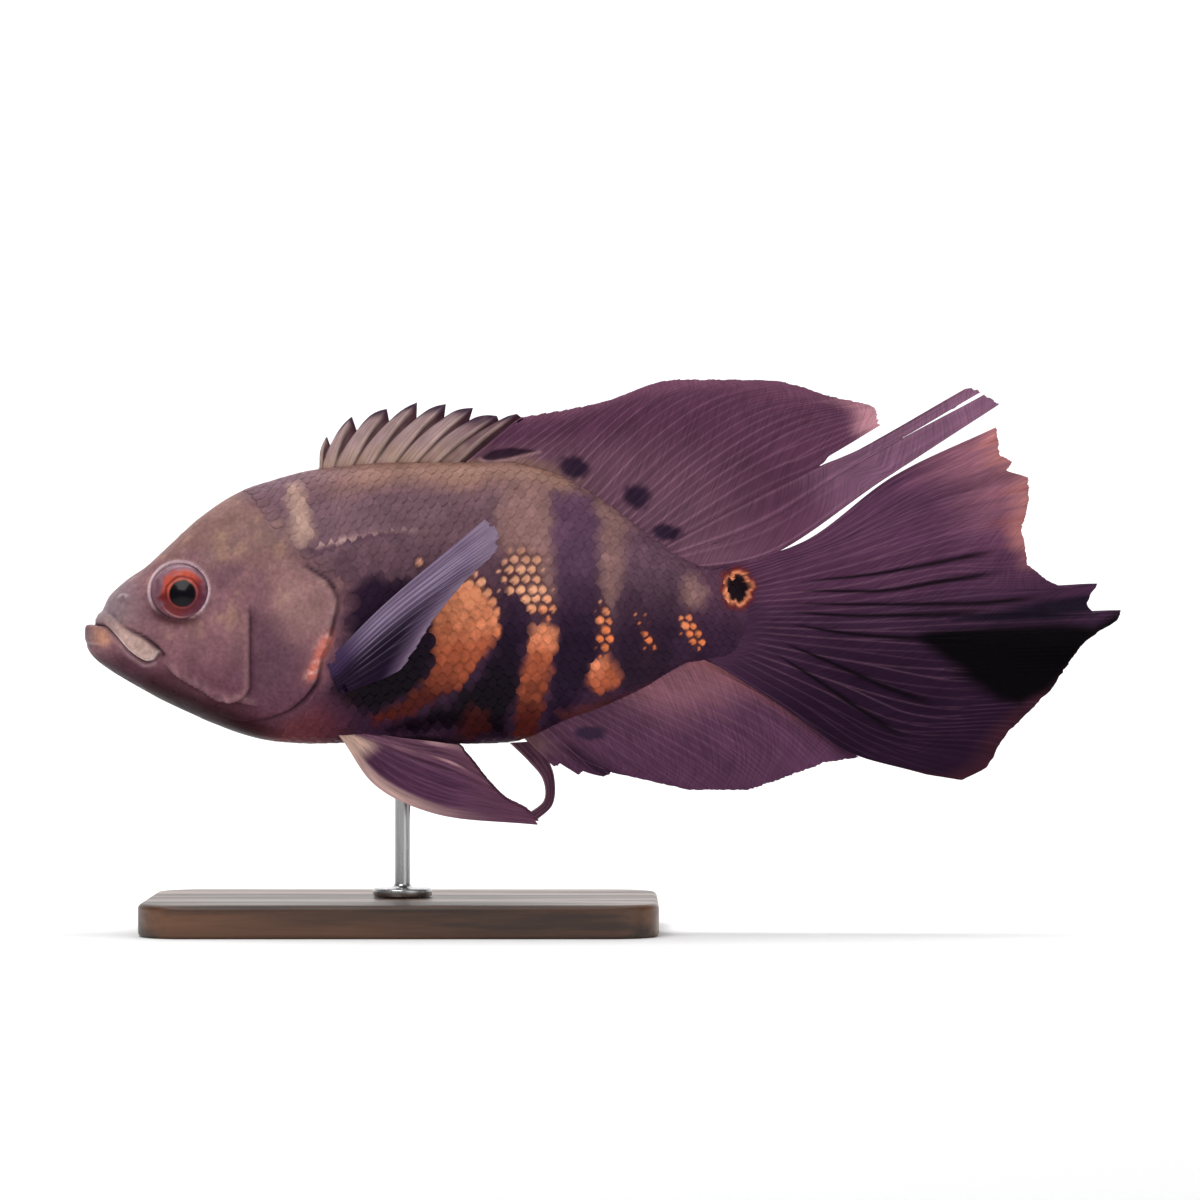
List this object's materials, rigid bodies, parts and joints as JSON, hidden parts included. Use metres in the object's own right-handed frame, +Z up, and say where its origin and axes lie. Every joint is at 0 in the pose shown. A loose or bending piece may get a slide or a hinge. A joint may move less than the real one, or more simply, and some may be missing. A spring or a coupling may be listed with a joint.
{
  "type": "oscar fish model on stand",
  "caption": "Still, life-size model of a long-finned oscar swimming, fins spread, held by a steel rod over a flat wooden base.",
  "frame": {"origin": "centre of the whole part's footprint, on the surface that the stand's base rests on", "axes": "+X from the head to the tail, +Y towards the fish's right side, +Z up"},
  "size_m": [0.3174, 0.09, 0.1683],
  "materials": {
    "skin": "wet scaled skin, satin, brownish grey head, dark purple flanks with orange bars and spots",
    "fins": "thin dark purple-brown membrane between paler rays, satin",
    "pectorals": "clear greyish lilac membrane between pale rays, satin",
    "eyes": "glossy, black pupil in an orange-red iris",
    "stand_wood": "dark oiled wood, satin",
    "stand_steel": "brushed steel"
  },
  "bodies": {
    "root": {"head": "skin", "lower_jaw": "skin", "gill_cover_left": "skin", "gill_cover_right": "skin", "eye_left": "eyes", "eye_right": "eyes", "trunk_front": "skin", "trunk_rear": "skin", "tail_stalk": "skin", "dorsal_fin_spiny": "fins", "dorsal_fin_soft": "fins", "caudal_fin": "fins", "anal_fin": "fins", "pelvic_fin_left": "fins", "pelvic_fin_right": "fins", "pelvic_streamer_right": "fins", "pectoral_fin_left": "pectorals", "pectoral_fin_right": "pectorals", "stand_base": "stand_wood", "stand_rod": "stand_steel"}
  },
  "joints": []
}
